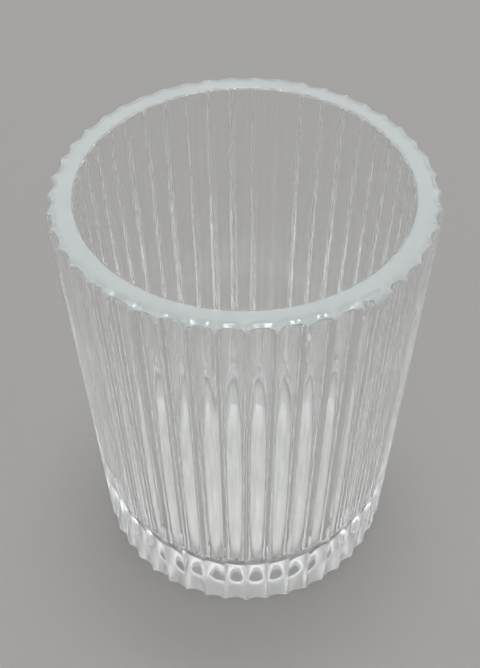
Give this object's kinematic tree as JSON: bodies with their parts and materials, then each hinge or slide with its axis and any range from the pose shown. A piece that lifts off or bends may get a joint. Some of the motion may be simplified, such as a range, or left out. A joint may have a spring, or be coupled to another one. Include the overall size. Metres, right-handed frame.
{
  "type": "chai glass",
  "caption": "Clear glass tea tumbler with concave flutes round the outside, a smooth round bore, a rounded rim and a thick foot.",
  "frame": {"origin": "centre of the flat ring under the foot, on the surface that the glass stands on", "axes": "+Z along the axis of the glass, up to the rim; one edge between two flutes points along -Y"},
  "size_m": [0.068, 0.0679, 0.089],
  "materials": {
    "clear_glass": "clear pressed soda-lime glass, fire-polished, with faint mould waves"
  },
  "bodies": {
    "root": {"base": "clear_glass", "fluted_wall": "clear_glass", "rim": "clear_glass"}
  },
  "joints": []
}
